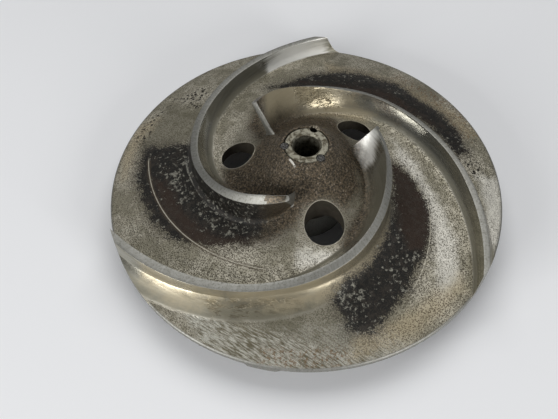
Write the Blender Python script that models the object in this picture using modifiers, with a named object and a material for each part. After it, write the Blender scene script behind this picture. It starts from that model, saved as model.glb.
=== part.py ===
"""Semi-open pump impeller: a steel casting with three vanes, a bush in its nose and the bush's lock pins.

Metres, +Z up. The origin is on the shaft axis, at the flat rear face of the hub, which it rests on.
"""

from bisect import bisect
from math import cos, exp, log, pi, radians, sin

import bmesh
import bpy
from mathutils import Vector

# Main sizes
RIM_RADIUS = 0.127
RIM_THICKNESS = 0.0037
RIM_FRONT = 0.0217  # height of the front edge of the rim over the rear face of the hub
NOSE_FRONT = RIM_FRONT + 0.0432
JOINT_GAP = 0.0003
TURNING_ALLOWANCE = 0.003  # metal outside the rim that the lathe takes off

# Front of the shroud, as heights over the rim's front edge, from the nose down the hub to the rim
FRONT_STATIONS = (
    (0.0153, 0.0432),
    (0.0170, 0.0420),
    (0.0195, 0.0390),
    (0.0225, 0.0357),
    (0.0263, 0.0318),
    (0.0308, 0.0278),
    (0.0370, 0.0236),
    (0.0432, 0.0201),
    (0.0494, 0.0172),
    (0.0556, 0.0149),
    (0.0680, 0.0123),
    (0.0970, 0.0063),
    (0.1270, 0.0000),
)
# Back of the shroud, from the rim in to the rear hub
BACK_STATIONS = (
    (0.1270, -0.0037),
    (0.1000, -0.0012),
    (0.0760, 0.0028),
    (0.0560, 0.0070),
    (0.0430, 0.0092),
    (0.0320, 0.0110),
    (0.0282, 0.0095),
    (0.0266, 0.0060),
)
REAR_HUB_RADIUS = 0.0260
REAR_HUB_CHAMFER = 0.0010

# Bores along the shaft axis
SHAFT_BORE_RADIUS = 0.0143
SHAFT_BORE_DEPTH = 0.0280
KEYWAY_WIDTH = 0.0064
KEYWAY_TOP = 0.0176  # from the axis
SCREW_HOLE_RADIUS = 0.0083
BUSH_RADIUS = 0.0136
BUSH_SEAT = NOSE_FRONT - 0.0200
BUSH_CHAMFER = 0.0010

# Pins locking the bush, on the circle where it meets the casting
PIN_RADIUS = 0.0025
PIN_LENGTH = 0.0080
PIN_CIRCLE = 0.0133
PIN_ANGLES = (308.0, 182.0)
EMPTY_PIN_ANGLE = 66.0

# Balance holes through the foot of the hub
BALANCE_HOLE_COUNT = 3
BALANCE_HOLE_RADIUS = 0.0127
BALANCE_HOLE_CIRCLE = 0.0432
BALANCE_HOLE_ANGLE = 42.5

# Main vanes: each spirals outwards, clockwise seen from the front, a little off its third of the circle
VANE_START_ANGLES = (134.0, 252.4, 9.6)
VANE_TURN = 180.0
VANE_STATION_STEP = 5.0
# (turn in degrees from the inlet, metres): radius of the edge's outer corner, and sizes across the vane
OUTER_EDGE = (
    (0, 0.0449),
    (20, 0.0508),
    (40, 0.0573),
    (60, 0.0648),
    (80, 0.0732),
    (100, 0.0816),
    (120, 0.0918),
    (140, 0.1047),
    (160, 0.1202),
    (180, 0.1382),
)
EDGE_WIDTH = (
    (0, 0.0032),
    (8, 0.0037),
    (20, 0.0041),
    (60, 0.0043),
    (90, 0.0051),
    (130, 0.0049),
    (155, 0.0046),
    (180, 0.0034),
)
INNER_SPREAD = (
    (0, 0.0136),
    (12, 0.0112),
    (60, 0.0103),
    (110, 0.0082),
    (140, 0.0062),
    (160, 0.0040),
    (180, 0.0022),
)
OUTER_SPREAD = ((0, -0.0125), (8, -0.0080), (20, -0.0040), (40, 0.0002), (60, 0.0006), (180, 0.0006))
# (radius, height over the rim's front edge) of the machined edge of the vanes
EDGE_STATIONS = (
    (0.0415, 0.0495),
    (0.0460, 0.0436),
    (0.0533, 0.0365),
    (0.0660, 0.0271),
    (0.0826, 0.0200),
    (0.1016, 0.0162),
    (0.1270, 0.0133),
    (0.1400, 0.0120),
)
FOOT_DEPTH = 0.0008  # how far a vane's foot reaches under the shroud's face
OUTER_FILLET = ((0, 0.0014), (35, 0.0055), (180, 0.0055))
FULL_HOLLOW_TURN = 45.0  # the inner wall is straight at the inlet, and hollow at its foot from this turn on

# Pump-out vanes on the back: logarithmic spirals, half way round between the tips of the main vanes
BACK_VANE_COUNT = 3
BACK_VANE_TIP_ANGLE = 260.0
BACK_VANE_INNER_RADIUS = 0.0620
BACK_VANE_GROWTH = 0.357  # rise of the radius's logarithm for each radian of turn
BACK_VANE_WIDTH = 0.0060
BACK_VANE_FACE = -0.0057

TURNED_STEPS = 72
HOLE_SIDES = 32

CAST_STEEL = ("cast_steel", (0.36, 0.34, 0.29), 0.45)
BUSH_STEEL = ("bush_steel", (0.42, 0.41, 0.36), 0.40)
PIN_STEEL = ("pin_steel", (0.30, 0.31, 0.33), 0.50)


def clear_scene():
    for obj in list(bpy.data.objects):
        bpy.data.objects.remove(obj, do_unlink=True)


def new_collection(name, hidden=False):
    collection = bpy.data.collections.new(name)
    bpy.context.scene.collection.children.link(collection)
    collection.hide_render = hidden
    return collection


def steel(name, colour, roughness):
    material = bpy.data.materials.new(name)
    material.use_nodes = True
    shader = material.node_tree.nodes["Principled BSDF"]
    shader.inputs["Base Color"].default_value = (*colour, 1)
    shader.inputs["Roughness"].default_value = roughness
    shader.inputs["Metallic"].default_value = 1.0
    return material


def object_from(bm, name, collection, material=None):
    mesh = bpy.data.meshes.new(name)
    bmesh.ops.recalc_face_normals(bm, faces=bm.faces)
    bm.to_mesh(mesh)
    bm.free()
    mesh.shade_smooth()
    mesh.set_sharp_from_angle(angle=radians(30))
    obj = bpy.data.objects.new(name, mesh)
    collection.objects.link(obj)
    if material:
        mesh.materials.append(material)
    return obj


def as_cutter(obj):
    obj.hide_render = True
    obj.display_type = "WIRE"
    return obj


def boolean(target, tool, operation):
    modifier = target.modifiers.new(f"{operation.lower()}_{tool.name}", "BOOLEAN")
    modifier.operation = operation
    modifier.solver = "EXACT"
    modifier.object = tool


def turned(name, outline, collection, material=None, steps=TURNED_STEPS):
    """An outline of (radius, height) points, down its outer side and back up, turned about the Z axis."""
    bm = bmesh.new()
    corners = [bm.verts.new((radius, 0, height)) for radius, height in outline]
    for first, second in zip(corners, corners[1:] + corners[:1]):
        bm.edges.new((first, second))
    mesh = bpy.data.meshes.new(name)
    bm.to_mesh(mesh)
    bm.free()
    obj = bpy.data.objects.new(name, mesh)
    collection.objects.link(obj)
    if material:
        mesh.materials.append(material)
    screw = obj.modifiers.new("turn", "SCREW")
    screw.steps = screw.render_steps = steps
    screw.use_merge_vertices = True
    screw.merge_threshold = 1e-5
    screw.use_smooth_shade = True
    return obj


def cylinder(name, radius, bottom, top, centre, collection, material=None, sides=HOLE_SIDES):
    bm = bmesh.new()
    bmesh.ops.create_cone(
        bm, cap_ends=True, segments=sides, radius1=radius, radius2=radius, depth=top - bottom
    )
    bmesh.ops.translate(bm, verts=bm.verts, vec=(centre[0], centre[1], (top + bottom) / 2))
    return object_from(bm, name, collection, material)


def on_circle(radius, angle):
    return Vector((radius * cos(radians(angle)), radius * sin(radians(angle))))


def smooth_at(stations, place):
    """The value at a place on a smooth curve through the stations."""
    places, values = zip(*stations)
    last = len(places) - 1
    start = min(max(bisect(places, place) - 1, 0), last - 1)
    slopes = []
    for here in (start, start + 1):
        before, after = max(here - 1, 0), min(here + 1, last)
        slopes.append((values[after] - values[before]) / (places[after] - places[before]))
    length = places[start + 1] - places[start]
    share = (place - places[start]) / length
    rise = values[start + 1] - values[start]
    bend = (slopes[0] * length - rise) * (1 - share) - (slopes[1] * length - rise) * share
    return values[start] + rise * share + bend * share * (1 - share)


def at(stations, place):
    """The value at a place between stations, on straight lines."""
    for (here, value), (there, next_value) in zip(stations, stations[1:]):
        if place <= there:
            share = (place - here) / (there - here)
            return value + (next_value - value) * max(share, 0)
    return stations[-1][1]


def front_height(radius):
    """Height of the shroud's front face, over the rim's front edge. It runs on past the rim."""
    if radius > RIM_RADIUS:
        (inner, height), (outer, _) = FRONT_STATIONS[-2:]
        return height * (RIM_RADIUS - radius) / (outer - inner)
    return at(FRONT_STATIONS, radius)


def vane_section(turn):
    """(radius, height) points round a vane at a turn from its inlet: outer foot, edge, inner foot."""
    outer = smooth_at(OUTER_EDGE, turn)
    inner = outer - at(EDGE_WIDTH, turn)
    outer_foot = outer + at(OUTER_SPREAD, turn)
    fillet = at(OUTER_FILLET, turn)
    fillet_end = outer_foot + fillet
    inner_foot = inner - at(INNER_SPREAD, turn)
    outer_floor = front_height(outer_foot)
    inner_floor = front_height(inner_foot)
    inner_top = smooth_at(EDGE_STATIONS, inner)
    rise = inner_top - inner_floor
    top = Vector((inner, inner_top))
    foot = Vector((inner_foot, inner_floor - FOOT_DEPTH))
    hollow = Vector((inner - 0.38 * (inner - inner_foot), inner_floor + 0.20 * rise))
    waist = top.lerp(foot, 0.5).lerp(hollow, min(turn / FULL_HOLLOW_TURN, 1))
    inner_wall = []
    for step in range(1, 5):
        share = step / 5
        place = top * (1 - share) ** 2 + waist * 2 * share * (1 - share) + foot * share**2
        inner_wall.append(tuple(place))
    return [
        (fillet_end, front_height(fillet_end) - FOOT_DEPTH),
        (outer_foot + 0.55 * fillet, outer_floor + 0.11 * fillet),
        (outer_foot + 0.18 * fillet, outer_floor + 0.43 * fillet),
        (outer_foot, outer_floor + fillet),
        (outer, smooth_at(EDGE_STATIONS, outer)),
        (inner, inner_top),
        *inner_wall,
        tuple(foot),
        (inner_foot, inner_floor - 3 * FOOT_DEPTH),
        (fillet_end, front_height(fillet_end) - 3 * FOOT_DEPTH),
    ]


def mid_height(radius):
    """Height half way through the shroud. It runs on past the rim."""
    if radius > RIM_RADIUS:
        return front_height(radius) - RIM_THICKNESS / 2
    return (at(FRONT_STATIONS, radius) + at(BACK_STATIONS[::-1], radius)) / 2


def back_turn_to(radius):
    """Turn in degrees at which a pump-out vane's outer side reaches a radius."""
    return 180 / pi * log(radius / BACK_VANE_INNER_RADIUS) / BACK_VANE_GROWTH


def back_vane_section(turn):
    outer = BACK_VANE_INNER_RADIUS * exp(BACK_VANE_GROWTH * radians(turn))
    inner = outer - BACK_VANE_WIDTH
    return [
        (inner, BACK_VANE_FACE),
        (inner, mid_height(inner)),
        (outer, mid_height(outer)),
        (outer, BACK_VANE_FACE),
    ]


def blade(name, section, first_angle, last_turn, collection):
    """A closed loft through a section that turns clockwise about the axis as it moves outwards."""
    bm = bmesh.new()
    count = round(last_turn / VANE_STATION_STEP)
    rings = []
    for station in range(count + 1):
        turn = last_turn * station / count
        angle = radians(first_angle - turn)
        rings.append(
            [
                bm.verts.new((radius * cos(angle), radius * sin(angle), RIM_FRONT + height))
                for radius, height in section(turn)
            ]
        )
    for ring, following in zip(rings, rings[1:]):
        for corner in range(len(ring)):
            after = (corner + 1) % len(ring)
            bm.faces.new((ring[corner], ring[after], following[after], following[corner]))
    bm.faces.new(rings[0])
    bm.faces.new(rings[-1])
    return object_from(bm, name, collection)


def casting_outline():
    """Half section of the casting before its vanes are added, with the bores left out of it."""
    stock = RIM_RADIUS + TURNING_ALLOWANCE
    seat_radius = BUSH_RADIUS + JOINT_GAP
    front = [(radius, RIM_FRONT + height) for radius, height in FRONT_STATIONS[:-1]]
    back = [(radius, RIM_FRONT + height) for radius, height in BACK_STATIONS[1:]]
    return [
        (seat_radius, NOSE_FRONT),
        *front,
        (stock, RIM_FRONT + front_height(stock)),
        (stock, RIM_FRONT - RIM_THICKNESS),
        *back,
        (REAR_HUB_RADIUS, RIM_FRONT),
        (REAR_HUB_RADIUS, REAR_HUB_CHAMFER),
        (REAR_HUB_RADIUS - REAR_HUB_CHAMFER, 0),
        (SHAFT_BORE_RADIUS, 0),
        (SHAFT_BORE_RADIUS, SHAFT_BORE_DEPTH),
        (SCREW_HOLE_RADIUS, SHAFT_BORE_DEPTH),
        (SCREW_HOLE_RADIUS, BUSH_SEAT),
        (seat_radius, BUSH_SEAT),
    ]


def make_casting(parts, cutters, material):
    casting = turned("impeller_casting", casting_outline(), parts, material)
    for number, angle in enumerate(VANE_START_ANGLES):
        vane = blade(f"vane_{number + 1}", vane_section, angle, VANE_TURN, cutters)
        boolean(casting, as_cutter(vane), "UNION")
    stock = RIM_RADIUS + 2 * TURNING_ALLOWANCE + BACK_VANE_WIDTH
    for number in range(BACK_VANE_COUNT):
        start = BACK_VANE_TIP_ANGLE + back_turn_to(RIM_RADIUS) + 360 / BACK_VANE_COUNT * number
        back_vane = blade(f"back_vane_{number + 1}", back_vane_section, start, back_turn_to(stock), cutters)
        boolean(casting, as_cutter(back_vane), "UNION")
    rim = cylinder("turned_rim", RIM_RADIUS, -0.01, 0.1, (0, 0), cutters, sides=TURNED_STEPS)
    boolean(casting, as_cutter(rim), "INTERSECT")
    for number in range(BALANCE_HOLE_COUNT):
        centre = on_circle(BALANCE_HOLE_CIRCLE, BALANCE_HOLE_ANGLE + 360 / BALANCE_HOLE_COUNT * number)
        hole = cylinder(f"balance_hole_{number + 1}", BALANCE_HOLE_RADIUS, -0.01, 0.1, centre, cutters)
        boolean(casting, as_cutter(hole), "DIFFERENCE")
    boolean(casting, make_keyway(cutters), "DIFFERENCE")
    for cutter in pin_holes(cutters):
        boolean(casting, cutter, "DIFFERENCE")
    return casting


def make_keyway(cutters):
    bm = bmesh.new()
    bmesh.ops.create_cube(bm, size=1)
    depth = SHAFT_BORE_DEPTH + 0.01
    bmesh.ops.scale(bm, verts=bm.verts, vec=(KEYWAY_WIDTH, KEYWAY_TOP, depth))
    bmesh.ops.translate(bm, verts=bm.verts, vec=(0, KEYWAY_TOP / 2, depth / 2 - 0.01))
    return as_cutter(object_from(bm, "keyway", cutters))


def pin_holes(cutters):
    holes = []
    bottom = NOSE_FRONT - PIN_LENGTH - JOINT_GAP
    for number, angle in enumerate((*PIN_ANGLES, EMPTY_PIN_ANGLE)):
        centre = on_circle(PIN_CIRCLE, angle)
        radius = PIN_RADIUS + JOINT_GAP
        name = f"pin_hole_{number + 1}"
        hole = cylinder(name, radius, bottom, NOSE_FRONT + 0.01, centre, cutters, sides=16)
        holes.append(as_cutter(hole))
    return holes


def make_bush(parts, cutters, material):
    bottom = BUSH_SEAT + JOINT_GAP
    outline = [
        (SCREW_HOLE_RADIUS, bottom),
        (BUSH_RADIUS, bottom),
        (BUSH_RADIUS, NOSE_FRONT),
        (SCREW_HOLE_RADIUS + BUSH_CHAMFER, NOSE_FRONT),
        (SCREW_HOLE_RADIUS, NOSE_FRONT - BUSH_CHAMFER),
    ]
    bush = turned("nose_bush", outline, parts, material, steps=48)
    for cutter in [obj for obj in cutters.objects if obj.name.startswith("pin_hole_")]:
        boolean(bush, cutter, "DIFFERENCE")


def make_pins(parts, material):
    for number, angle in enumerate(PIN_ANGLES):
        centre = on_circle(PIN_CIRCLE, angle)
        name = f"lock_pin_{number + 1}"
        bottom = NOSE_FRONT - PIN_LENGTH
        cylinder(name, PIN_RADIUS, bottom, NOSE_FRONT, centre, parts, material, sides=16)


def main():
    clear_scene()
    parts = new_collection("pump_impeller")
    cutters = new_collection("cutters", hidden=True)
    make_casting(parts, cutters, steel(*CAST_STEEL))
    make_bush(parts, cutters, steel(*BUSH_STEEL))
    make_pins(parts, steel(*PIN_STEEL))


main()
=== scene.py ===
"""Looks of the semi-open pump impeller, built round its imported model.

Lengths are in metres. +Z runs along the shaft axis, from the rear hub to the nose.
"""

from bisect import bisect
from math import cos, exp, hypot, log, pi, radians, sin

import bmesh
import bpy
from mathutils import Matrix, Vector, noise


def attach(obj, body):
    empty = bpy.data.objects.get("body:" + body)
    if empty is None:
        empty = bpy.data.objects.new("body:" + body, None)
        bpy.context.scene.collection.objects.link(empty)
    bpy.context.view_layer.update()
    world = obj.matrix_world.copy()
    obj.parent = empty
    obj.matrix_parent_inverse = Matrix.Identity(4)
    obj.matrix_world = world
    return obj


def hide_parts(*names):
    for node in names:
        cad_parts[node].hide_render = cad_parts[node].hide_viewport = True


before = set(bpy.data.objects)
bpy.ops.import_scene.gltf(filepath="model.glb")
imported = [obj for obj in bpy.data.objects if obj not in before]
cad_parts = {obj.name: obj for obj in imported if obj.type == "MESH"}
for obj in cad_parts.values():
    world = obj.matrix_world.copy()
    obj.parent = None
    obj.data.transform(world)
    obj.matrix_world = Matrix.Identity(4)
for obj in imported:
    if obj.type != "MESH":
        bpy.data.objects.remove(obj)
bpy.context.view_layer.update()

# The shroud: the disc with the hub cone on its front and the rear hub behind it, sand cast in steel. Its rim,
# nose, rear face and bores are turned, and the rest keeps the skin of the sand.

rim_radius = 0.127
rim_front = 0.0217
rim_thickness = 0.0037
disc_radius = rim_radius - 0.00005
nose_front = rim_front + 0.0432
seat_radius = 0.0139
seat_bottom = nose_front - 0.0200
screw_passage_radius = 0.0083
shaft_bore_radius = 0.0143
shaft_bore_top = 0.0280
rear_hub_radius = 0.0260
# a radius, and the height of the front or the back there over the front of the rim
front_stations = (
    (0.0139, 0.0432),
    (0.0151, 0.0432),
    (0.0156, 0.0430),
    (0.0170, 0.0420),
    (0.0195, 0.0390),
    (0.0225, 0.0357),
    (0.0263, 0.0318),
    (0.0308, 0.0278),
    (0.0370, 0.0236),
    (0.0432, 0.0201),
    (0.0494, 0.0172),
    (0.0556, 0.0149),
    (0.0680, 0.0123),
    (0.0970, 0.0063),
    (0.1270, 0.0000),
    (0.1400, -0.0027),
)
back_stations = (
    (0.0266, 0.0060),
    (0.0282, 0.0095),
    (0.0320, 0.0110),
    (0.0430, 0.0092),
    (0.0560, 0.0070),
    (0.0760, 0.0028),
    (0.1000, -0.0012),
    (0.1270, -0.0037),
    (0.1400, -0.0049),
)
CAST, TURNED, BORED = range(3)
finishes = [bpy.data.materials.new(name) for name in ("cast", "turned", "bored")]


def at(stations, place):
    """The value at a place on a smooth curve through the stations."""
    places, values = zip(*stations)
    last = len(places) - 1
    start = min(max(bisect(places, place) - 1, 0), last - 1)
    slopes = []
    for here in (start, start + 1):
        before, after = max(here - 1, 0), min(here + 1, last)
        slopes.append((values[after] - values[before]) / (places[after] - places[before]))
    length = places[start + 1] - places[start]
    share = (place - places[start]) / length
    rise = values[start + 1] - values[start]
    bend = (slopes[0] * length - rise) * (1 - share) - (slopes[1] * length - rise) * share
    return values[start] + rise * share + bend * share * (1 - share)


def span(start, end, step):
    """Evenly spaced values from start to end, about a step apart."""
    count = max(round(abs(end - start) / step), 1)
    return [start + (end - start) * number / count for number in range(count + 1)]


def as_object(bm, name):
    """The bmesh as an object at the origin, with its faces pointing outwards."""
    bmesh.ops.recalc_face_normals(bm, faces=bm.faces)
    mesh = bpy.data.meshes.new(name)
    bm.to_mesh(mesh)
    bm.free()
    piece = bpy.data.objects.new(name, mesh)
    bpy.context.scene.collection.objects.link(piece)
    return piece


def spun(outline, steps):
    """A closed outline of (radius, height) points turned about the shaft axis."""
    bm = bmesh.new()
    corners = [bm.verts.new((radius, 0, height)) for radius, height in outline]
    edges = [bm.edges.new(pair) for pair in zip(corners, corners[1:] + corners[:1])]
    bmesh.ops.spin(
        bm, geom=corners + edges, axis=(0, 0, 1), cent=(0, 0, 0), angle=2 * pi, steps=steps, use_merge=True
    )
    return bm


outline = [(seat_radius, nose_front - 0.0005), (seat_radius + 0.0003, nose_front)]
for radius in (0.0148, 0.0152, 0.0157, 0.0163, *span(0.0170, disc_radius - 0.0008, 0.0013)):
    outline.append((radius, rim_front + at(front_stations, radius)))
outline += [
    (disc_radius - 0.0003, rim_front - 0.0001),
    (disc_radius, rim_front - 0.0005),
    (disc_radius, rim_front - rim_thickness + 0.0004),
]
for radius in span(disc_radius - 0.0004, 0.0282, 0.0030):
    outline.append((radius, rim_front + at(back_stations, radius)))
outline += [
    (rear_hub_radius + 0.0006, rim_front + 0.0060),
    (rear_hub_radius, rim_front),
    (rear_hub_radius, 0.0010),
    (rear_hub_radius - 0.0010, 0.0),
    (shaft_bore_radius + 0.0008, 0.0),
    (shaft_bore_radius, 0.0008),
    (shaft_bore_radius, shaft_bore_top),
    (screw_passage_radius, shaft_bore_top),
    (screw_passage_radius, seat_bottom),
    (seat_radius, seat_bottom),
]
bm = spun(outline, 240)
for face in bm.faces:
    place = face.calc_center_median()
    radius = hypot(place.x, place.y)
    on_rim = radius > disc_radius - 0.0007
    on_rear_hub = radius < rear_hub_radius + 0.0002 and place.z < rim_front
    if on_rim or on_rear_hub:
        face.material_index = TURNED
    if radius < shaft_bore_radius + 0.0002 and place.z < nose_front - 0.0010:
        face.material_index = BORED
casting = as_object(bm, "impeller_body")

# The three main vanes, cast in one with the shroud. Each spirals outwards and clockwise from a rounded inlet
# edge, leans inwards over a hollow inner wall, and has its front edge turned to the volute's clearance. They
# were finished by hand: the first is slimmed for a stretch, and the third keeps a heavy foot and tail.

# an inlet's angle, and whether the vane is heavy or slimmed
vanes = ((134.0, 0, 1), (252.4, 0, 0), (9.6, 1, 0))
# by how far the vane has turned from its inlet, in degrees: the radius of its edge's outer side, the edge's
# width, how far the walls spread from there down to the floor, and how far the fillet reaches out and up
outer_edge = (
    (0, 0.0463),
    (20, 0.0516),
    (40, 0.0576),
    (60, 0.0648),
    (80, 0.0732),
    (100, 0.0816),
    (120, 0.0918),
    (140, 0.1047),
    (160, 0.1202),
    (180, 0.1382),
)
edge_width = (
    (0, 0.0032),
    (8, 0.0037),
    (20, 0.0041),
    (60, 0.0043),
    (90, 0.0051),
    (130, 0.0049),
    (155, 0.0046),
    (180, 0.0034),
)
inner_spread = (
    (0, 0.0150),
    (12, 0.0120),
    (60, 0.0104),
    (110, 0.0092),
    (140, 0.0076),
    (160, 0.0050),
    (180, 0.0026),
)
outer_spread = (
    (0, -0.0125),
    (8, -0.0080),
    (20, -0.0040),
    (40, 0.0002),
    (60, 0.0010),
    (110, 0.0028),
    (180, 0.0030),
)
fillet_reach = ((0, 0.0016), (35, 0.0058), (70, 0.0050), (100, 0.0036), (180, 0.0036))
fillet_rise = ((0, 0.0016), (35, 0.0058), (70, 0.0046), (110, 0.0030), (180, 0.0030))
# what a heavy vane adds to these, and how far its fillet's bend is lifted off the floor
heavy_edge = ((0, -0.0020), (8, -0.0016), (20, -0.0005), (35, 0.0), (180, 0.0))
heavy_width = (
    (0, -0.0013),
    (8, -0.0013),
    (20, -0.0006),
    (35, 0.0),
    (120, 0.0),
    (140, 0.0008),
    (160, 0.0012),
    (180, 0.0002),
)
heavy_spread = ((0, 0.0), (80, 0.0), (120, -0.0040), (150, -0.0034), (180, -0.0008))
heavy_reach = ((0, 0.0), (35, 0.0), (70, 0.0030), (100, 0.0079), (180, 0.0084))
heavy_rise = ((0, 0.0), (35, 0.0), (70, 0.0010), (110, 0.0028), (180, 0.0030))
heavy_lift = ((0, 0.0), (45, 0.0), (75, 0.0018), (105, 0.0044), (180, 0.0048))
# how much narrower a slimmed vane's edge is
slimmed_by = ((0, 0.0), (60, 0.0), (88, 0.0022), (116, 0.0016), (135, 0.0007), (150, 0.0), (180, 0.0))
# a radius, and the height of the turned edges there over the front of the rim
edge_heights = (
    (0.0400, 0.0490),
    (0.0431, 0.0486),
    (0.0463, 0.0465),
    (0.0516, 0.0401),
    (0.0575, 0.0335),
    (0.0660, 0.0271),
    (0.0826, 0.0200),
    (0.1016, 0.0162),
    (0.1270, 0.0133),
    (0.1400, 0.0120),
)
edge_rounding = 0.00022
vane_root = 0.0022
# how far the rounded inlet reaches ahead, in degrees about the axis, and the angles of its sections round it
inlet_reach = 2.6
inlet_sections = (78, 58, 38, 19)


def curve(controls, count):
    """Points along the Bezier curve with these control points."""
    points = []
    for number in range(count + 1):
        row = [Vector(point) for point in controls]
        while len(row) > 1:
            row = [first.lerp(second, number / count) for first, second in zip(row, row[1:])]
        points.append(row[0])
    return points


def floor_at(radius, raised=0.0):
    """A (radius, height) point on the front of the shroud, or this far over it."""
    return Vector((radius, at(front_stations, radius) + raised))


def pinched(outer, inner, share):
    """Two radii drawn together about their middle, to this share of their distance."""
    middle, half = (outer + inner) / 2, (outer - inner) / 2 * share
    return middle + half, middle - half


def vane_section(turn, pinch=1.0, heavy=0, slimmed=0):
    """(radius, height) points round the vane: outer fillet, wall, edge, inner wall, back under the floor."""
    slimming = slimmed * at(slimmed_by, turn)
    outer = at(outer_edge, turn) + heavy * at(heavy_edge, turn) + slimming * 0.5
    inner = outer - at(edge_width, turn) - heavy * at(heavy_width, turn) + slimming
    outer_foot = outer + at(outer_spread, turn)
    inner_foot = inner - at(inner_spread, turn) - heavy * at(heavy_spread, turn) - slimming * 1.2
    outer, inner = pinched(outer, inner, pinch)
    outer_foot, inner_foot = pinched(outer_foot, inner_foot, pinch)
    outer_top = Vector((outer, at(edge_heights, outer)))
    inner_top = Vector((inner, at(edge_heights, inner)))
    rounding = edge_rounding * pinch
    across = (inner_top - outer_top).normalized()
    down_outside = (floor_at(outer_foot) - outer_top).normalized()

    reach = at(fillet_reach, turn) + heavy * at(heavy_reach, turn)
    rise = at(fillet_rise, turn) + heavy * at(heavy_rise, turn)
    lift = heavy * at(heavy_lift, turn)
    bend_share = 0.15 - 0.21 * heavy * min(turn / 100, 1)
    fillet_top = floor_at(outer_foot) - down_outside * rise
    fillet = (
        floor_at(outer_foot + reach, -0.0001),
        floor_at(outer_foot + 0.5 * reach, 0.0002 + 0.30 * lift),
        floor_at(outer_foot + bend_share * reach, lift),
        fillet_top,
    )

    # straight at the inlet, and hollow once the vane has turned by 45 degrees
    hollow = min(turn / 45, 1)
    foot = floor_at(inner_foot)
    spread, drop = inner - inner_foot, inner_top.y - foot.y
    shoulder = Vector((inner - 0.28 * spread, inner_top.y - 0.46 * drop))
    shoulder = inner_top.lerp(foot, 0.35).lerp(shoulder, hollow)
    instep = Vector((inner_foot + 0.36 * spread, foot.y + 0.08 * drop))
    instep = inner_top.lerp(foot, 0.85).lerp(instep, hollow)
    down_inside = (shoulder - inner_top).normalized()
    inner_start = inner_top + down_inside * rounding

    return [
        floor_at(outer_foot + reach + 0.0012, -0.0007),
        *curve(fillet, 16),
        *curve((fillet_top, outer_top + down_outside * rounding), 3)[1:],
        outer_top + (down_outside + across) * rounding * 0.3,
        *curve((outer_top + across * rounding, inner_top - across * rounding), 3),
        inner_top + (down_inside - across) * rounding * 0.3,
        *curve((inner_start, shoulder, instep, floor_at(inner_foot - 0.0010, -0.0001)), 14),
        floor_at(inner_foot - 0.0018, -0.0007),
        floor_at(inner_foot, -vane_root),
        floor_at(outer_foot + reach, -vane_root),
    ]


def lofted(rings):
    """A closed solid through rings of as many points each."""
    bm = bmesh.new()
    corners = [bm.verts.new(place) for place in rings[0]]
    edges = [bm.edges.new(pair) for pair in zip(corners, corners[1:] + corners[:1])]
    for ring in rings[1:]:
        made = bmesh.ops.extrude_edge_only(bm, edges=edges)["geom"]
        fresh = {item for item in made if isinstance(item, bmesh.types.BMVert)}
        corners = [
            next(edge.other_vert(corner) for edge in corner.link_edges if edge.other_vert(corner) in fresh)
            for corner in corners
        ]
        for corner, place in zip(corners, ring):
            corner.co = place
        edges = [item for item in made if isinstance(item, bmesh.types.BMEdge)]
        edges = [edge for edge in edges if fresh.issuperset(edge.verts)]
    bmesh.ops.holes_fill(bm, edges=bm.edges, sides=0)
    return bm


def on_circle(radius, angle):
    """The place on a circle about the shaft axis, at this angle in degrees from +X."""
    return Vector((radius * cos(radians(angle)), radius * sin(radians(angle)), 0))


def round_axis(section, angle):
    """A section's (radius, height) points as places at this angle about the shaft axis."""
    return [on_circle(radius, angle) + Vector((0, 0, rim_front + height)) for radius, height in section]


def join(piece, tool, operation, finish=None):
    """Joins a tool to the piece, or cuts the piece with it, at once, and removes the tool."""
    for solid in (piece, tool):
        for material in finishes[len(solid.data.materials) :]:
            solid.data.materials.append(material)
    if finish is not None:
        for face in tool.data.polygons:
            face.material_index = finish
    step = piece.modifiers.new("step", "BOOLEAN")
    step.operation = operation
    step.solver = "EXACT"
    step.object = tool
    evaluated = piece.evaluated_get(bpy.context.evaluated_depsgraph_get())
    mesh = bpy.data.meshes.new_from_object(evaluated)
    bm = bmesh.new()
    bm.from_mesh(mesh)
    bmesh.ops.remove_doubles(bm, verts=bm.verts, dist=0.000002)
    bm.to_mesh(mesh)
    bm.free()
    piece.modifiers.clear()
    piece.data = mesh
    bpy.data.objects.remove(tool)


def off_edge(place):
    """How far a place lies from the surface that the vanes' edges are turned to."""
    return abs(place.z - rim_front - at(edge_heights, hypot(place.x, place.y)))


for start_angle, heavy, slimmed in vanes:
    rings = []
    for lap in inlet_sections:
        section = vane_section(0, cos(radians(lap)))
        rings.append(round_axis(section, start_angle + inlet_reach * sin(radians(lap))))
    for turn in span(0, 180, 2.5):
        rings.append(round_axis(vane_section(turn, 1.0, heavy, slimmed), start_angle - turn))
    bm = lofted(rings)
    for face in bm.faces:
        on_edge = max(off_edge(corner.co) for corner in face.verts) < 0.0002
        ahead = face.calc_center_median().to_2d().angle_signed(on_circle(1, start_angle).to_2d())
        if on_edge or ahead > 0.001:
            face.material_index = TURNED
    join(casting, as_object(bm, "vane"), "UNION")

# The three pump-out vanes on the back of the shroud, low ribs of the same casting with their faces turned
# flat. They keep the liquid off the shaft seal.

pump_out_tip_angle = 260.0
pump_out_inner_radius = 0.0620
pump_out_growth = 0.357
pump_out_width = 0.0060
pump_out_draft = 0.0008
pump_out_face = -0.0057


def pump_out_turn(radius):
    """How far, in degrees, a pump-out vane has turned when its spiral reaches this radius."""
    return 180 / pi * log(radius / pump_out_inner_radius) / pump_out_growth


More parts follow.
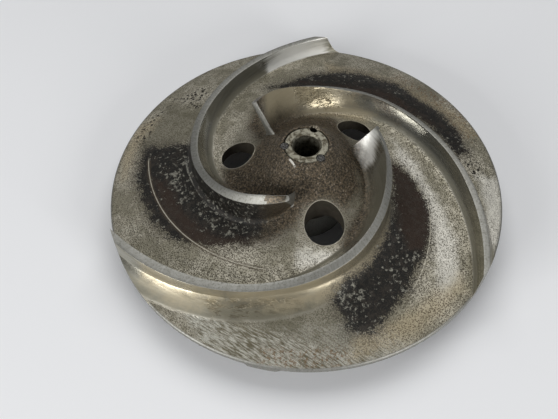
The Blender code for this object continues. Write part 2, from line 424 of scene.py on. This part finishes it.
for number in range(3):
    start_angle = pump_out_tip_angle + pump_out_turn(rim_radius) + 120 * number
    rings = []
    for turn in span(0, pump_out_turn(rim_radius + 0.012), 4):
        outer = pump_out_inner_radius * exp(pump_out_growth * radians(turn))
        inner = outer - pump_out_width
        inside, outside = (at(back_stations, radius) + 0.0012 for radius in (inner, outer))
        section = [
            (inner, pump_out_face),
            (inner - pump_out_draft, inside),
            (outer + pump_out_draft, outside),
            (outer, pump_out_face),
        ]
        rings.append(round_axis(section, start_angle - turn))
    bm = lofted(rings)
    for face in bm.faces:
        if abs(face.calc_center_median().z - rim_front - pump_out_face) < 0.0001:
            face.material_index = TURNED
    join(casting, as_object(bm, "pump_out_vane"), "UNION")

# Machined out of the rough casting: the tips of all the vanes, turned down to the rim, three balance holes
# through the foot of the hub, a keyway in the shaft's bore, and the places of three lock pins in the nose.

balance_holes = ((-0.0430, 0.0126, 0.0109), (0.0332, 0.0304, 0.0112), (0.0094, -0.0426, 0.0122))
keyway_width = 0.0064
keyway_height = 0.0176
pin_radius = 0.0025
pin_length = 0.0080
pin_circle = 0.0133
pin_angles = (308.0, 182.0)
open_pin_angle = 66.0
crust_lumps = ((8, 0.0009), (48, 0.0011), (92, 0.0008))
sharp_from = radians(34)


def rod(radius, bottom, top, place, sides):
    """A round bar that stands on end over a place."""
    bm = bmesh.new()
    bmesh.ops.create_cone(
        bm, cap_ends=True, segments=sides, radius1=radius, radius2=radius, depth=top - bottom
    )
    bmesh.ops.translate(bm, verts=bm.verts, vec=(place.x, place.y, (top + bottom) / 2))
    return bm


def drill_pin_holes(piece):
    """Cuts the pins' places into the casting's nose or into the bush, half of each hole in either."""
    for angle in (*pin_angles, open_pin_angle):
        hole_bottom = nose_front - pin_length - 0.0003
        hole = rod(pin_radius + 0.0003, hole_bottom, nose_front + 0.01, on_circle(pin_circle, angle), 32)
        join(piece, as_object(hole, "pin_hole"), "DIFFERENCE", BORED)


stock = rod(rim_radius, -0.02, 0.10, Vector((0, 0)), 360)
join(casting, as_object(stock, "turned_rim"), "INTERSECT", TURNED)

for hole_x, hole_y, radius in balance_holes:
    hole = rod(radius, -0.01, 0.1, Vector((hole_x, hole_y)), 96)
    join(casting, as_object(hole, "balance_hole"), "DIFFERENCE", BORED)

bm = bmesh.new()
bmesh.ops.create_cube(bm, size=1)
bmesh.ops.scale(bm, verts=bm.verts, vec=(keyway_width, keyway_height, shaft_bore_top + 0.01))
bmesh.ops.translate(bm, verts=bm.verts, vec=(0, keyway_height / 2, (shaft_bore_top - 0.01) / 2))
join(casting, as_object(bm, "keyway"), "DIFFERENCE", BORED)

drill_pin_holes(casting)

for lump_angle, size in crust_lumps:
    bm = bmesh.new()
    bmesh.ops.create_icosphere(bm, subdivisions=2, radius=size)
    place = on_circle(pin_circle, open_pin_angle) + on_circle(pin_radius - 0.0002, lump_angle)
    bmesh.ops.translate(bm, verts=bm.verts, vec=(place.x, place.y, nose_front - 0.0006))
    join(casting, as_object(bm, "crust"), "UNION", CAST)

casting.data.shade_smooth()
casting.data.set_sharp_from_angle(angle=sharp_from)

# How the foundry and the years left the casting. Its skin is slightly uneven where no tool has cut it, and
# the front of the shroud is marked where it was pitted, stained or ground, and where rust was brushed to tan
# or brown. The outlines of the marks are in millimetres from the shaft axis.

# Some of the marks carry painted light as well: the burnished ones are partly painted highlights, and the
# grimed and gouged ones partly painted shade.
skin_unevenness = 0.00020
mark_outlines = {
    "stained": (
        (
            (-107, 34), (-90, 32), (-72, 27), (-68, 2), (-51, -20), (-35, -29), (-26, -33), (-27, -44),
            (-39, -49), (-57, -50), (-73, -48), (-86, -41), (-97, -29), (-106, -12), (-110, 4), (-109, 22),
        ),
        (
            (-22, 80), (8, 94), (28, 97), (48, 94), (72, 82), (92, 62), (106, 40), (108, 22), (99, 22),
            (90, 40), (68, 58), (48, 69), (27, 75), (0, 77),
        ),
        (
            (55, 6), (62, 3), (70, -8), (75, -22), (76, -36), (73, -52), (66, -64), (58, -80), (47, -96),
            (33, -107), (22, -106), (17, -96), (13, -87), (22, -77), (36, -64), (47, -48), (54, -28),
        ),
    ),
    "reddened": (
        ((55, 6), (64, 2), (74, -18), (75, -40), (70, -56), (60, -56), (56, -38), (55, -20)),
        (
            (-99, 6), (-93, -14), (-82, -34), (-66, -50), (-50, -56), (-30, -55), (-32, -49), (-50, -47),
            (-66, -38), (-79, -22), (-88, -2),
        ),
        ((0, 86), (57, 78), (95, 44), (88, 42), (56, 66), (20, 78)),
    ),
    "flaked": (
        ((-72, -20), (-58, -21), (-36, -33), (-28, -41), (-42, -46), (-60, -43), (-72, -34)),
        ((-98, 26), (-80, 24), (-76, 5), (-74, -18), (-84, -22), (-92, -4)),
        ((15, -81), (23, -82), (32, -86), (30, -95), (22, -96), (16, -88)),
        ((50, -60), (68, -58), (62, -76), (48, -88), (40, -80)),
    ),
    "tanned": (
        (
            (-40, -78), (-16, -82), (12, -74), (34, -59), (50, -38), (56, -46), (42, -68), (14, -86),
            (-16, -93), (-50, -88),
        ),
        (
            (-30, 42), (-22, 24), (-10, 36), (6, 44), (24, 46), (40, 42), (52, 48), (32, 61), (6, 64),
            (-16, 60),
        ),
        ((21, -122), (60, -108), (92, -80), (90, -70), (60, -92), (24, -108)),
        ((20, 108), (70, 90), (104, 60), (120, 40), (112, 36), (84, 66), (58, 82), (20, 94)),
        ((-112, 40), (-100, 60), (-112, 56), (-122, 30), (-120, 8)),
        ((-100, -55), (-78, -74), (-50, -84), (-52, -90), (-80, -86), (-102, -70)),
    ),
    "browned": (
        (
            (-27, 21), (-38, 4), (-53, 4), (-50, -18), (-30, -32), (-10, -36), (2, -33), (13, -30),
            (23, -34), (33, -21), (32, 7), (27, 19), (20, 42), (-2, 44), (-16, 36),
        ),
        ((-41, -24), (-28, -26), (-14, -25), (-2, -22), (-1, -32), (-8, -43), (-24, -50), (-38, -49)),
        (
            (34, 5), (38, -8), (40, -23), (36, -38), (29, -52), (21, -62), (19, -53), (27, -40), (33, -28),
            (32, -12), (24, 0),
        ),
        (
            (-32, 62), (-36, 40), (-30, 19), (-23, 18), (-28, 43), (-24, 62), (10, 66), (48, 54), (64, 38),
            (52, 62), (10, 78), (-20, 74),
        ),
    ),
    "pitted": (
        ((-84, 80), (-76, 88), (-64, 86), (-62, 72), (-70, 64), (-82, 68)),
        ((-84, 78), (-90, 80), (-100, 68), (-108, 56), (-114, 42), (-109, 38), (-102, 54), (-94, 66)),
        ((98, 41), (101, 23), (108, 5), (115, 0), (118, 6), (109, 26), (104, 44)),
        ((-10, 84), (40, 84), (84, 60), (98, 36), (88, 36), (66, 60), (38, 74), (-10, 80)),
    ),
    # pale patches on the walls, partly burnished wear and partly painted highlights
    "burnished_and_sheen": (
        ((28, 16), (41, 14), (44, 4), (43, -7), (36, -9), (30, -2)),
        ((-26, 103), (-12, 115), (8, 124), (22, 126), (24, 116), (0, 105), (-22, 91)),
    ),
    # gouges, and painted shade in the hollow along the third vane's outer wall
    "gouged_and_shaded": (
        ((-12, 57), (4, 60), (18, 58), (28, 52), (24, 46), (10, 50), (-4, 48)),
        ((-64, -83), (-36, -87), (-8, -87), (2, -92), (-12, -97), (-40, -99), (-62, -94)),
    ),
    # partly grime, and partly painted shade on walls and in hollows that the lamps don't reach
    "grimed_and_shaded": (
        ((-24, 98), (-36, 98), (-56, 76), (-66, 56), (-62, 44), (-56, 52), (-46, 70), (-34, 84), (-24, 91)),
        ((44, -8), (54, -10), (55, -30), (46, -46), (30, -57), (22, -47), (34, -34), (38, -18)),
        (
            (-40, -96), (-24, -93), (-4, -86), (12, -82), (20, -88), (24, -98), (33, -108), (35, -114),
            (22, -117), (4, -115), (-13, -109), (-30, -103),
        ),
        ((-30, 42), (-22, 22), (-12, 32), (-4, 43), (-8, 52), (-20, 50)),
        (
            (-91, 71), (-78, 63), (-67, 67), (-71, 38), (-83, 30), (-103, 33), (-109, 22), (-112, 40),
            (-102, 56),
        ),
        (
            (40, -49), (33, -59), (24, -68), (13, -75), (-1, -80), (-15, -84), (-31, -85), (-49, -83),
            (-67, -79), (-70, -82), (-51, -87), (-33, -89), (-16, -88), (-1, -85), (13, -79), (26, -72),
            (36, -63), (43, -52),
        ),
    ),
    "rusty": (
        ((-29, -114), (-8, -117), (18, -117), (20, -123), (3, -126), (-19, -125), (-32, -120)),
        ((84, 66), (104, 40), (116, 30), (120, 38), (108, 62), (92, 82), (70, 96)),
    ),
    "smoothed": (
        ((112, 4), (128, 2), (128, -30), (120, -52), (107, -52), (112, -24)),
        ((-9, -56), (12, -58), (22, -60), (14, -68), (-8, -68)),
        ((60, 27), (74, 3), (84, -20), (90, -48), (89, -77), (75, -87), (75, -49), (71, -14), (60, 9)),
    ),
    "ground": (
        (
            (-76, -86), (-40, -100), (-7, -102), (30, -100), (46, -104), (51, -112), (26, -130),
            (-25, -130), (-62, -118),
        ),
    ),
}
far_outside = -50


def reach_into(outline, place):
    """How far, in millimetres, the place lies inside the outline, or outside it as a minus number."""
    inside, nearest = False, 1e9
    for (x1, y1), (x2, y2) in zip(outline, outline[1:] + outline[:1]):
        if (y1 > place.y) != (y2 > place.y) and place.x < x1 + (place.y - y1) * (x2 - x1) / (y2 - y1):
            inside = not inside
        side, offset = Vector((x2 - x1, y2 - y1)), Vector((place.x - x1, place.y - y1))
        share = min(max(offset.dot(side) / side.length_squared, 0), 1)
        nearest = min(nearest, (offset - side * share).length)
    return nearest if inside else -nearest


bm = bmesh.new()
bm.from_mesh(casting.data)
for vert in bm.verts:
    if all(face.material_index == CAST for face in vert.link_faces):
        swell = noise.noise(vert.co * 70) + 0.6 * noise.noise(vert.co * 190 + Vector((5, 3, 1)))
        vert.co += vert.normal * swell * skin_unevenness
bm.normal_update()
height_mark, level_mark = bm.verts.layers.float.new("above_floor"), bm.verts.layers.float.new("level")
for vert in bm.verts:
    vert[height_mark] = 1000 * (vert.co.z - rim_front - at(front_stations, vert.co.to_2d().length))
    vert[level_mark] = vert.normal.z
for name, outlines in mark_outlines.items():
    mark = bm.verts.layers.float.new(name)
    for vert in bm.verts:
        place = vert.co.to_2d() * 1000
        on_front = vert.co.z > rim_front - 0.0008
        vert[mark] = max(reach_into(outline, place) for outline in outlines) if on_front else far_outside
bm.to_mesh(casting.data)
bm.free()


class Value:
    """A socket in a finish. Sums written with it add Math nodes."""

    def __init__(self, finish, socket):
        self.finish, self.socket = finish, socket

    def maths(self, operation, *values):
        return self.finish.node("ShaderNodeMath", {"operation": operation}, dict(enumerate(values)))

    def __add__(self, other):
        return self.maths("ADD", self, other)

    def __sub__(self, other):
        return self.maths("SUBTRACT", self, other)

    def __rsub__(self, other):
        return self.maths("SUBTRACT", other, self)

    def __mul__(self, other):
        return self.maths("MULTIPLY", self, other)

    def __abs__(self):
        return self.maths("ABSOLUTE", self)

    __radd__, __rmul__ = __add__, __mul__


class Finish:
    """A material with its shader, built up from values."""

    def __init__(self, name, **constants):
        self.material = bpy.data.materials.get(name) or bpy.data.materials.new(name)
        self.material.use_nodes = True
        self.tree = self.material.node_tree
        self.shader = self.tree.nodes["Principled BSDF"]
        for socket, value in constants.items():
            self.shader.inputs[socket.title()].default_value = value
        self.place = self.node("ShaderNodeTexCoord", {}, {}, "Object")

    def node(self, kind, settings, inputs, output=0):
        """One of the outputs of a new node, with these settings and with these numbers or values going in."""
        made = self.tree.nodes.new(kind)
        for name, setting in settings.items():
            setattr(made, name, setting)
        for name, value in inputs.items():
            if isinstance(value, Value):
                self.tree.links.new(value.socket, made.inputs[name])
            else:
                made.inputs[name].default_value = value
        return Value(self, made.outputs[output])

    def feed(self, socket, value):
        self.tree.links.new(value.socket, self.shader.inputs[socket])

    def grain(self, size, detail, rough, place=None):
        """Noise about this size, in metres, from 0 to 1."""
        inputs = {"Vector": place or self.place, "Scale": 1 / size, "Detail": detail, "Roughness": rough}
        return self.node("ShaderNodeTexNoise", {}, inputs)

    def dots(self, size, low, high):
        """Round spots a size apart: 1 in their middles, and smoothly 0 outside them."""
        inputs = {"Vector": self.place, "Scale": 1 / size}
        return 1 - self.step(self.node("ShaderNodeTexVoronoi", {}, inputs), low, high)

    def drawn_out(self, x, y, z, turn=0.0):
        """The place, turned about the shaft axis and measured in these lengths along each direction."""
        inputs = {"Vector": self.place, "Rotation": (0, 0, turn), "Scale": (x, y, z)}
        return self.node("ShaderNodeMapping", {"vector_type": "TEXTURE"}, inputs)

    def axis(self, number):
        """How far the place lies along X, Y or Z, which are 0, 1 and 2."""
        return self.node("ShaderNodeSeparateXYZ", {}, {0: self.place}, number)

    def step(self, value, low, high):
        """0 below low, 1 above high, and smooth between them."""
        inputs = {"Value": value, "From Min": low, "From Max": high}
        return self.node("ShaderNodeMapRange", {"interpolation_type": "SMOOTHSTEP"}, inputs)

    def mix(self, share, first, second):
        """The first colour turning into the second as share goes from 0 to 1."""
        inputs = {0: share}
        inputs |= {6: first if isinstance(first, Value) else (*first, 1)}
        inputs |= {7: second if isinstance(second, Value) else (*second, 1)}
        return self.node("ShaderNodeMix", {"data_type": "RGBA"}, inputs, 2)

    def mark(self, name):
        """A number that is kept on the piece's mesh."""
        return self.node("ShaderNodeAttribute", {"attribute_name": name}, {}, "Fac")

    def far_from(self, x, y):
        """How far this is from a place on the shroud, in metres, seen along the shaft."""
        flat = self.node("ShaderNodeVectorMath", {"operation": "MULTIPLY"}, {0: self.place, 1: (1, 1, 0)})
        return self.node("ShaderNodeVectorMath", {"operation": "DISTANCE"}, {0: flat, 1: (x, y, 0)}, "Value")

    def dent(self, height, distance):
        """A normal bent by a height map."""
        return self.node("ShaderNodeBump", {}, {"Height": height, "Distance": distance, "Strength": 1.0})


cast = Finish("cast")
x, y = cast.axis(0), cast.axis(1)
above_floor, level = cast.mark("above_floor"), cast.mark("level")
fine, middle, broad = cast.grain(0.0008, 3, 0.6), cast.grain(0.0045, 4, 0.6), cast.grain(0.030, 4, 0.6)
fine_sway, middle_sway, broad_sway = fine - 0.5, middle - 0.5, broad - 0.5
ragged = middle_sway * 9 + fine_sway * 4 + broad_sway * 10
on_wall = cast.step(above_floor + middle_sway * 0.5, 0.30, 0.60)
on_wall = on_wall * (1 - cast.step(level + middle_sway * 0.1, 0.86, 0.95))
on_floor = 1 - on_wall

# bare floor, pitted all over, and rubbed smoother in places
dull_floor, clean_floor, rubbed_floor = (0.265, 0.246, 0.186), (0.46, 0.43, 0.35), (0.66, 0.64, 0.575)
pit_bottom = (0.10, 0.086, 0.060)
smooth = cast.step(cast.mark("smoothed") + ragged, -4, 5)
pits = cast.dots(0.00085, 0.25, 0.62) * cast.step(fine + broad * 0.5 - smooth * 0.14, 0.54, 0.80) * on_floor
floor = cast.mix(cast.step(broad + middle_sway * 0.5, 0.38, 0.62), dull_floor, clean_floor)
floor = cast.mix(smooth * 0.75, floor, rubbed_floor)
floor = cast.mix(pits * 0.82, floor, pit_bottom)

# walls swept smooth along the flow, with painted shade at their feet, and bright where they are burnished,
# partly as wear and partly as a painted highlight
dull_wall, clean_wall, shaded_low_wall, bright_wall_sheen = (
    (0.285, 0.273, 0.222),
    (0.38, 0.367, 0.312),
    (0.185, 0.17, 0.12),
    (0.84, 0.83, 0.78),
)
swept = cast.grain(1.0, 4, 0.55, cast.drawn_out(0.030, 0.030, 0.0016))
low = on_wall * (1 - cast.step(above_floor, 2.0, 4.5))
worn_and_sheen = cast.step(cast.mark("burnished_and_sheen") + broad_sway * 8 + (swept - 0.5) * 8, -2, 3) * on_wall
wall = cast.mix(cast.step(swept, 0.30, 0.70), dull_wall, clean_wall)
# painted shade darkens the lowest few millimetres of the walls, in the crease at their feet
wall = cast.mix(low * 0.6, wall, shaded_low_wall)
wall = cast.mix(worn_and_sheen * 0.9, wall, bright_wall_sheen)

# short gouges in the walls, in skin that they have darkened, and painted shade in the hollow along the third
# vane's outer wall
gouged_and_shaded = cast.step(cast.mark("gouged_and_shaded") + middle_sway * 9, -1, 3)
gouges = cast.grain(1.0, 3, 0.6, cast.drawn_out(0.0060, 0.0018, 0.0010, radians(-12)))
gouges = cast.step(gouges, 0.50, 0.62) * gouged_and_shaded
wall = cast.mix(gouged_and_shaded * 0.6, wall, (0.15, 0.135, 0.09))
wall = cast.mix(gouges * 0.8, wall, (0.10, 0.085, 0.055))
colour = cast.mix(on_wall, floor, wall)

# a pale line along the walls' feet, partly wear and partly a painted highlight, and grime on floor and walls,
# partly real dirt and partly painted shade
foot = cast.step(above_floor, 0.02, 0.25) * (1 - cast.step(above_floor, 0.45, 0.90))
foot = foot * (1 - cast.step(level, 0.90, 0.96)) * cast.step(broad, 0.3, 0.5)
colour = cast.mix(foot * 0.5, colour, (0.55, 0.52, 0.44))
# these places are darkened partly as real dirt and partly as painted shade
grime_and_shade = cast.step(cast.mark("grimed_and_shaded") + ragged * 0.6 + fine_sway * on_floor * 16, -3, 2)
colour = cast.mix(grime_and_shade * 0.62, colour, (0.105, 0.096, 0.062))

# grinding strokes
between_strokes, stroke = (0.13, 0.115, 0.075), (0.47, 0.46, 0.40)
strokes = cast.grain(1.0, 3, 0.6, cast.drawn_out(0.0050, 0.0008, 0.0040, radians(-34)))
in_ground = cast.step(cast.mark("ground") + ragged, -3, 4) * on_floor
ground = cast.mix(cast.step(strokes + broad_sway * 0.4, 0.34, 0.64), between_strokes, stroke)
colour = cast.mix(in_ground * (0.9 - grime_and_shade * 0.55), colour, ground)

# specks of rust near the rim
rust_specks = cast.step(cast.grain(0.0018, 4, 0.7), 0.50, 0.60)
in_rust = cast.step(cast.mark("rusty") + ragged, -5, 3) * on_floor
colour = cast.mix(in_rust * rust_specks * 0.75, colour, (0.17, 0.095, 0.040))

# rust brushed to tan, and to a speckled brown
tan, tan_pit = (0.42, 0.35, 0.22), (0.12, 0.08, 0.04)
in_tan = cast.step(cast.mark("tanned") + ragged, -5, 5)
colour = cast.mix(in_tan * 0.6, colour, cast.mix(pits, tan, tan_pit))
deep_brown, brown_rust, brown_speck = (0.020, 0.015, 0.009), (0.125, 0.092, 0.056), (0.30, 0.245, 0.185)
in_brown = cast.step(cast.mark("browned") + ragged * 0.7, -5, 4)
brown = cast.mix(cast.step(cast.grain(0.0012, 3, 0.65), 0.42, 0.60), deep_brown, brown_rust)
brown = cast.mix(cast.step(cast.grain(0.0015, 3, 0.6), 0.58, 0.68) * 0.8, brown, brown_speck)
colour = cast.mix(in_brown * 0.92, colour, brown)

# dark stains with a speckled halo, reddened in places and flaked down to pale metal
halo_brown, stain_black, stain_red = (0.085, 0.074, 0.055), (0.014, 0.0135, 0.012), (0.040, 0.024, 0.016)
stain_speck, stain_patch = (0.080, 0.067, 0.052), (0.052, 0.043, 0.034)
dull_flake, clean_flake = (0.115, 0.11, 0.09), (0.35, 0.34, 0.285)
stained = cast.mark("stained")
halo = cast.step(stained + ragged * 1.2 + fine_sway * 22, -7, 0)
colour = cast.mix(halo * 0.6, colour, halo_brown)
in_stain = cast.step(stained + ragged * 1.1 + fine_sway * 12, -1.0, 1.6)
in_red = cast.step(cast.mark("reddened") + ragged, -3, 3)
in_flakes = cast.step(cast.mark("flaked") + ragged, -5, 5)
flakes = cast.grain(0.0026, 5, 0.66) + in_flakes * 0.05 - in_red * 0.06 + broad_sway * 0.25
flakes = cast.step(flakes, 0.59, 0.66)
dark = cast.mix(in_red * 0.8, stain_black, stain_red)
dark = cast.mix(cast.step(fine, 0.48, 0.68) * 0.45, dark, stain_speck)
dark = cast.mix(cast.step(cast.grain(0.0040, 4, 0.7), 0.48, 0.60) * 0.5, dark, stain_patch)
dark = cast.mix(flakes, dark, cast.mix(cast.step(fine, 0.3, 0.7), dull_flake, clean_flake))
colour = cast.mix(in_stain, colour, dark)

# chains of deep pits
deep = cast.dots(0.0024, 0.26, 0.50) * cast.step(cast.mark("pitted") + ragged * 0.7, -2, 2)
deep = deep * cast.step(cast.grain(0.0045, 3, 0.5), 0.36, 0.48)
colour = cast.mix(deep, colour, (0.025, 0.021, 0.017))

# arcs that a tool and the flow left in the skin, and a painted glint beside the nose, as middles and radii
tool_arc = (-0.0064, 0.0274, 0.0974)
flow_arc = (-0.0164, -0.0287, 0.0923)
ridge_arc = (0.0090, 0.0321, 0.0883)
glint_arc = (-0.0255, -0.0242, 0.0200)
pale_scratch = (0.48, 0.45, 0.37)


def arc_line(arc_x, arc_y, radius, width, start, end):
    """A thin line along an arc, as 1 on it, from one angle to the other; it draws the scratches and the
    painted glint beside the nose.
    """
    off = abs(cast.far_from(arc_x, arc_y) - radius) + middle_sway * width
    angle = (y - arc_y).maths("ARCTAN2", y - arc_y, x - arc_x)
    begun = cast.step(angle, radians(start), radians(start + 4))
    ended = cast.step(angle, radians(end - 4), radians(end))
    return (1 - cast.step(off, width * 0.35, width * 0.65)) * begun * (1 - ended) * on_floor


arcs = arc_line(*tool_arc, 0.0006, -179, -100) + arc_line(*flow_arc, 0.0006, -36, 6)
colour = cast.mix(arc_line(*tool_arc, 0.0026, -179, -100) * 0.5, colour, (0.08, 0.06, 0.04))
colour = cast.mix(arcs * 0.8, colour, pale_scratch)
ridge = arc_line(*ridge_arc, 0.0016, -172, -138)
colour = cast.mix(ridge * cast.step(fine, 0.3, 0.6), colour, (0.30, 0.29, 0.25))

# worn edges of the balance holes
for hole_x, hole_y, radius in balance_holes:
    worn_edge = 1 - cast.step(cast.far_from(hole_x, hole_y), radius + 0.0001, radius + 0.0007)
    colour = cast.mix(worn_edge * 0.7, colour, (0.50, 0.47, 0.38))

# the painted glint beside the nose, and pale crust in the open pin hole
dark_crust, pale_crust = (0.13, 0.10, 0.065), (0.50, 0.46, 0.36)
glint = arc_line(*glint_arc, 0.0012, 24, 44)
colour = cast.mix(glint * cast.step(fine, 0.30, 0.45), colour, (0.70, 0.68, 0.61))
open_pin_place = on_circle(pin_circle, open_pin_angle)
crust = cast.far_from(open_pin_place.x, open_pin_place.y) + fine_sway * 0.002
crust = 1 - cast.step(crust, 0.0030, 0.0038)
colour = cast.mix(crust * 0.8, colour, cast.mix(cast.step(fine, 0.4, 0.6), dark_crust, pale_crust))

# the back, which nothing wears, painted dark as shade, which is what shows through the balance holes
back_shade_black, back_shade_brown = (0.028, 0.023, 0.017), (0.10, 0.078, 0.055)
behind = 1 - cast.step(above_floor, -3.0, -1.8)
colour = cast.mix(behind * 0.9, colour, cast.mix(middle, back_shade_black, back_shade_brown))
cast.feed("Base Color", colour)

metal = 0.92 - in_stain * 0.3 - in_brown * 0.25 - in_tan * 0.25 - grime_and_shade * 0.25
cast.feed("Metallic", metal - worn_and_sheen * 0.30 - low * 0.30)

roughness = 0.46 + pits * 0.2 + fine_sway * on_floor * 0.15 - on_wall * 0.20 + low * 0.20 + worn_and_sheen * 0.14
cast.feed("Roughness", roughness + grime_and_shade * 0.14 + in_stain * 0.20 + in_brown * 0.05)

height = (pits + deep * 2.5) * -0.00012 + fine_sway * on_floor * 0.00010
height = height + middle_sway * (1 - on_wall * 0.7) * 0.0003 + fine_sway * in_brown * 0.0002
height = height + (strokes - 0.5) * in_ground * 0.0003 + (swept - 0.5) * on_wall * 0.00005 - gouges * 0.0002
height = height - in_stain * 0.00012 + flakes * in_stain * 0.00015
cast.feed("Normal", cast.dent(height, 1.0))

# turned faces, with the tool's rings and dull spots
turned = Finish("turned", metallic=1.0)
turned_dark, turned_pale, turned_spot = (0.29, 0.285, 0.255), (0.36, 0.355, 0.325), (0.19, 0.18, 0.15)
x, y, z = (turned.axis(number) for number in range(3))
ring_inputs = {0: y.maths("ARCTAN2", y, x) * 60, 1: turned.far_from(0, 0) * 180, 2: z * 100}
cut_marks = turned.grain(1.0, 3, 0.6, turned.node("ShaderNodeCombineXYZ", {}, ring_inputs))
spots = turned.grain(0.0012, 3, 0.6)
colour = turned.mix(turned.step(cut_marks, 0.25, 0.75), turned_dark, turned_pale)
turned.feed("Base Color", turned.mix(turned.step(spots, 0.52, 0.68) * 0.6, colour, turned_spot))
turned.feed("Roughness", 0.54 + (spots - 0.5) * 0.2)
turned.feed("Normal", turned.dent((cut_marks - 0.5) * 0.00002 + (spots - 0.5) * 0.00006, 1.0))

# bores and holes, brown with old rust
bored = Finish("bored", metallic=0.8)
bored.feed("Base Color", bored.mix(bored.grain(0.004, 4, 0.6), (0.045, 0.038, 0.027), (0.17, 0.15, 0.115)))
bored.feed("Roughness", 0.45 + bored.grain(0.003, 4, 0.6) * 0.2)

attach(casting, "root")
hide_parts("impeller_casting")

# The nose bush: a turned steel ring, threaded inside for the screw that holds the impeller on its shaft, and
# pressed into the casting's nose. Its face is worn, and its edge is bruised where the pins were set.

bush_radius = 0.0136
bush_back = nose_front - 0.0197
screw_hole_radius = screw_passage_radius
bush_off_centre = (0.00018, -0.00018, 0)
bush_rust, bush_metal = (0.085, 0.072, 0.048), (0.30, 0.285, 0.225)

bm = spun(
    [
        (bush_radius, bush_back),
        (bush_radius, nose_front - 0.0006),
        (bush_radius - 0.0006, nose_front),
        (screw_hole_radius + 0.0011, nose_front),
        (screw_hole_radius, nose_front - 0.0011),
        (screw_hole_radius, bush_back),
    ],
    96,
)
bmesh.ops.translate(bm, verts=bm.verts, vec=bush_off_centre)
bush = as_object(bm, "nose_bush_ring")
drill_pin_holes(bush)

bush_face = Finish("bush_face", metallic=0.9)
polish = bush_face.step(bush_face.grain(0.0022, 4, 0.65), 0.36, 0.58)
bush_face.feed("Base Color", bush_face.mix(polish, bush_rust, bush_metal))
bush_face.feed("Roughness", 0.42 + bush_face.grain(0.002, 4, 0.6) * 0.2)
bush_face.feed("Normal", bush_face.dent(bush_face.grain(0.001, 4, 0.6), 0.0003))
bush.data.materials[0] = bush_face.material
bush.data.shade_smooth()
bush.data.set_sharp_from_angle(angle=sharp_from)
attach(bush, "root")
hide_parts("nose_bush")

# The lock pins: two hardened pins driven in where the bush meets the nose, half in each, and filed flush. The
# third has fallen out and left its hole open.

pin_dark, pin_bright = (0.025, 0.024, 0.023), (0.17, 0.165, 0.155)
pin_finish = Finish("pin_finish", metallic=0.9)
file_marks = pin_finish.step(pin_finish.grain(0.0008, 4, 0.6), 0.4, 0.6)
pin_finish.feed("Base Color", pin_finish.mix(file_marks, pin_dark, pin_bright))
pin_finish.feed("Roughness", 0.35 + pin_finish.grain(0.001, 4, 0.6) * 0.25)
pin_finish.feed("Normal", pin_finish.dent(pin_finish.grain(0.0008, 3, 0.6), 0.0006))
for number, angle in enumerate(pin_angles, 1):
    bm = rod(pin_radius, nose_front - pin_length, nose_front, on_circle(pin_circle, angle), 32)
    top = [edge for edge in bm.edges if all(vert.co.z > nose_front - 0.001 for vert in edge.verts)]
    bmesh.ops.bevel(bm, geom=top, offset=0.0003, affect="EDGES", segments=2, profile=0.5, material=-1)
    pin = as_object(bm, f"filed_pin_{number}")
    pin.data.materials.append(pin_finish.material)
    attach(pin, "root")
    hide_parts(f"lock_pin_{number}")

# The table: a sheet of pale paper. A large soft lamp hangs overhead, and two smaller ones stand low at the
# front, to the left and to the right.

paper_shade, paper_light = (0.86, 0.865, 0.875), (0.88, 0.885, 0.895)
room_light, room_strength = (0.90, 0.94, 1.0, 1), 0.12

bm = bmesh.new()
bmesh.ops.create_circle(bm, cap_ends=True, segments=96, radius=4.0)
table = as_object(bm, "paper")
paper = Finish("paper_white", roughness=0.8)
paper.feed("Base Color", paper.mix(paper.grain(0.4, 2, 0.5), paper_shade, paper_light))
table.data.materials.append(paper.material)

scene = bpy.context.scene
world = bpy.data.worlds.new("studio")
world.use_nodes = True
world.node_tree.nodes["Background"].inputs["Color"].default_value = room_light
world.node_tree.nodes["Background"].inputs["Strength"].default_value = room_strength
scene.world = world
scene.view_settings.view_transform = "Standard"


def lamp(name, azimuth, elevation, distance, width, height, power):
    """A soft lamp facing the impeller. Azimuth is from +X round to +Y."""
    light = bpy.data.lights.new(name, "AREA")
    light.shape, light.size, light.size_y = "RECTANGLE", width, height
    light.energy = power
    holder = bpy.data.objects.new(name, light)
    away = on_circle(cos(radians(elevation)), azimuth) + Vector((0, 0, sin(radians(elevation))))
    facing = away.to_track_quat("Z", "Y").to_matrix().to_4x4()
    holder.matrix_world = Matrix.Translation(away * distance) @ facing
    scene.collection.objects.link(holder)


lamp("left_lamp", 220, 22, 1.3, 0.66, 0.46, 9.0)
lamp("right_lamp", 307, 21, 1.3, 0.42, 0.46, 6.2)
lamp("top_lamp", 80, 65, 1.8, 2.2, 1.4, 19)

# The camera: in front of the impeller and above it, as the photograph was taken. Its focal length is known in
# pixels of the photograph.

elevation, roll = radians(55.7522), radians(-1.5631)
distance = 3.7588 * rim_radius
aim = Vector((-0.1389 * rim_radius, -0.1392 * rim_radius, rim_front))
focal_pixels, photo_width, sensor_width = 743.594, 558, 36

back = Vector((0, -cos(elevation), sin(elevation)))
right, up = Vector((1, 0, 0)), Vector((0, sin(elevation), cos(elevation)))
right, up = right * cos(roll) + up * sin(roll), up * cos(roll) - right * sin(roll)
lens = bpy.data.cameras.new("camera")
lens.sensor_width = sensor_width
lens.lens = focal_pixels * sensor_width / photo_width
lens.clip_start = 0.01
camera = bpy.data.objects.new("camera", lens)
facing = Matrix((right, up, back)).transposed().to_4x4()
camera.matrix_world = Matrix.Translation(aim + back * distance) @ facing
scene.collection.objects.link(camera)
scene.camera = camera
